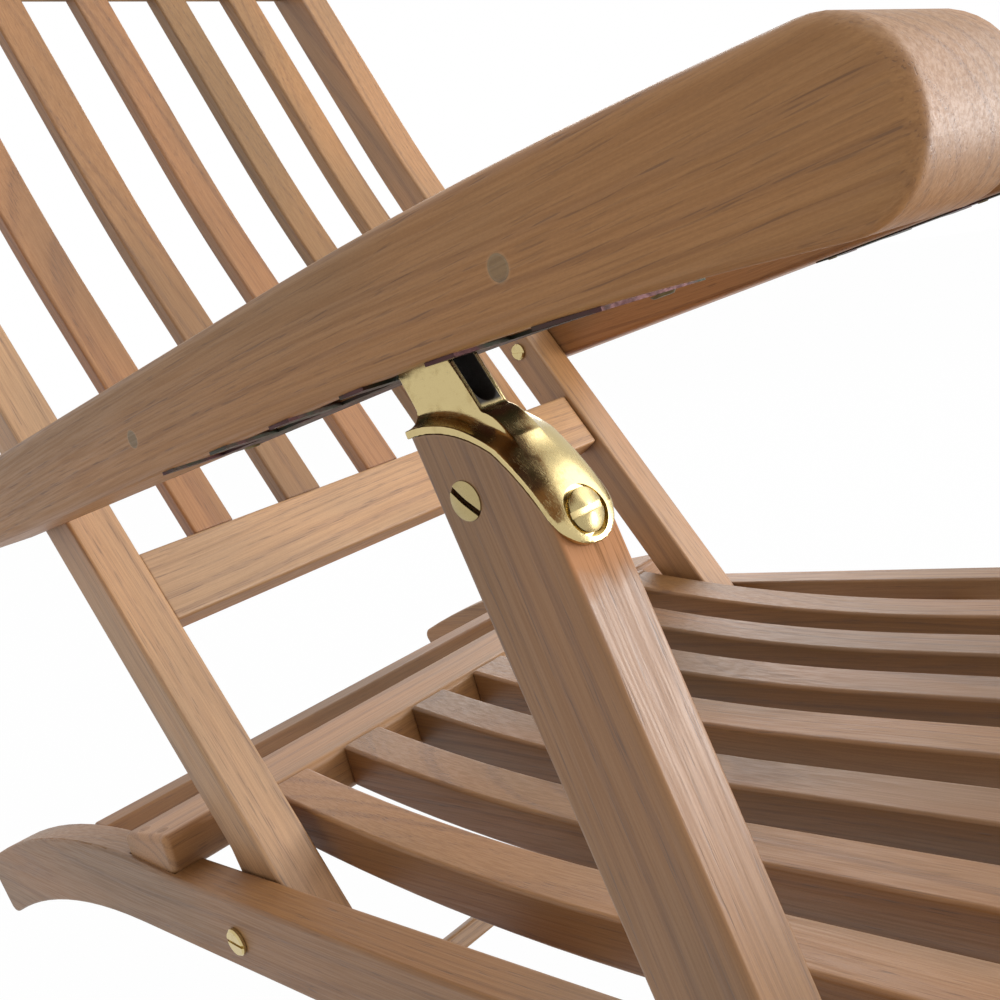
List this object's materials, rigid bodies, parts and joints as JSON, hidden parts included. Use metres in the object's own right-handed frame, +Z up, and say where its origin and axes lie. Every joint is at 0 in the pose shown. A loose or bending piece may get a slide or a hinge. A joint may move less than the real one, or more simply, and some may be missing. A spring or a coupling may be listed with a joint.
{
  "type": "steamer chair",
  "caption": "Folding steamer chair in teak: slatted seat, reclining back, bent arms locked on brass leg brackets, curved rail tails and a hinged leg rest.",
  "frame": {"origin": "centre of the chair's outline on the floor, in the pose of the picture", "axes": "+Z up, the sitter faces -Y, +X to the sitter's left"},
  "size_m": [0.6004, 1.424, 0.9652],
  "materials": {
    "teak": "sanded and oiled",
    "brass": "cast and polished",
    "plated_steel": "yellow passivated"
  },
  "bodies": {
    "seat_frame": {"side_rail_right": "teak", "side_rail_left": "teak", "rear_seat_rail": "teak", "seat_rail_pegs": "teak", "rear_stretcher": "teak", "front_seat_rail": "teak", "seat_slat_1": "teak", "seat_slat_2": "teak", "seat_slat_3": "teak", "seat_slat_4": "teak", "seat_slat_5": "teak", "seat_slat_6": "teak", "seat_slat_7": "teak", "rear_leg_stops": "teak", "front_leg_stops": "brass", "front_leg_bolts": "brass", "rear_leg_bolts": "brass", "leg_rest_bolts": "brass", "seat_frame_nuts": "brass"},
    "back_bolts": {"back_pivot_bolts": "brass", "back_pivot_nuts": "brass"},
    "back": {"back_stile_right": "teak", "back_stile_left": "teak", "lower_back_rail": "teak", "head_rail": "teak", "back_slat_1": "teak", "back_slat_2": "teak", "back_slat_3": "teak", "back_slat_4": "teak", "back_slat_5": "teak"},
    "arm_bolts": {"arm_bolts": "brass"},
    "arm_right": {"armrest_right": "teak", "arm_plugs_right": "teak", "notch_plate_right": "plated_steel", "plate_screws_right": "brass"},
    "front_leg_right": {"front_leg_right": "teak", "leg_bracket_right": "brass", "bracket_screws_right": "brass"},
    "arm_left": {"armrest_left": "teak", "arm_plugs_left": "teak", "notch_plate_left": "plated_steel", "plate_screws_left": "brass"},
    "front_leg_left": {"front_leg_left": "teak", "leg_bracket_left": "brass", "bracket_screws_left": "brass"},
    "rear_legs": {"rear_leg_right": "teak", "rear_leg_left": "teak", "rear_leg_stretcher": "teak"},
    "leg_rest": {"leg_rest_rail_right": "teak", "leg_rest_rail_left": "teak", "leg_rest_rear_rail": "teak", "leg_rest_front_rail": "teak", "leg_rest_slats": "teak", "leg_rest_stops": "teak", "rest_leg_bolts": "brass", "rest_leg_nuts": "brass"},
    "rest_legs": {"rest_leg_right": "teak", "rest_leg_left": "teak", "rest_leg_stretcher": "teak"}
  },
  "joints": [
    {"name": "fold", "type": "hinge", "parent": "seat_frame", "child": "back_bolts", "pos_m": [0, 0.28468, 0.275], "axis": [1, 0, 0], "range_deg": [0, 74]},
    {"name": "recline", "type": "hinge", "parent": "back_bolts", "child": "back", "pos_m": [0, 0.28468, 0.275], "axis": [-1, 0, 0], "range_deg": [-24, 0]},
    {"name": "arm_fold", "type": "hinge", "parent": "back", "child": "arm_bolts", "pos_m": [0, 0.4406, 0.51971], "axis": [1, 0, 0], "range_deg": [-81.4, 0]},
    {"name": "arm_lift_right", "type": "hinge", "parent": "arm_bolts", "child": "arm_right", "pos_m": [0, 0.4406, 0.51971], "axis": [1, 0, 0], "range_deg": [-36, 0]},
    {"name": "front_leg_fold_right", "type": "hinge", "parent": "seat_frame", "child": "front_leg_right", "pos_m": [0, -0.09368, 0.31819], "axis": [1, 0, 0], "range_deg": [0, 74]},
    {"name": "arm_lift_left", "type": "hinge", "parent": "arm_bolts", "child": "arm_left", "pos_m": [0, 0.4406, 0.51971], "axis": [1, 0, 0], "range_deg": [-36, 0]},
    {"name": "front_leg_fold_left", "type": "hinge", "parent": "seat_frame", "child": "front_leg_left", "pos_m": [0, -0.09368, 0.31819], "axis": [1, 0, 0], "range_deg": [0, 74]},
    {"name": "rear_leg_fold", "type": "hinge", "parent": "seat_frame", "child": "rear_legs", "pos_m": [0, 0.08483, 0.28696], "axis": [1, 0, 0], "range_deg": [-133.2, 0]},
    {"name": "leg_rest_hinge", "type": "hinge", "parent": "seat_frame", "child": "leg_rest", "pos_m": [0, -0.25796, 0.326], "axis": [1, 0, 0], "range_deg": [-48, 0]},
    {"name": "rest_leg_fold", "type": "hinge", "parent": "leg_rest", "child": "rest_legs", "pos_m": [0, -0.66198, 0.29775], "axis": [-1, 0, 0], "range_deg": [-80, 0]}
  ],
  "couplings": [
    {"joint": "arm_fold", "follows": "fold", "ratio": -1.1},
    {"joint": "arm_lift_right", "follows": "recline", "ratio": 1.5},
    {"joint": "front_leg_fold_right", "follows": "fold", "ratio": 1},
    {"joint": "arm_lift_left", "follows": "recline", "ratio": 1.5},
    {"joint": "front_leg_fold_left", "follows": "fold", "ratio": 1},
    {"joint": "rear_leg_fold", "follows": "fold", "ratio": -1.8}
  ]
}
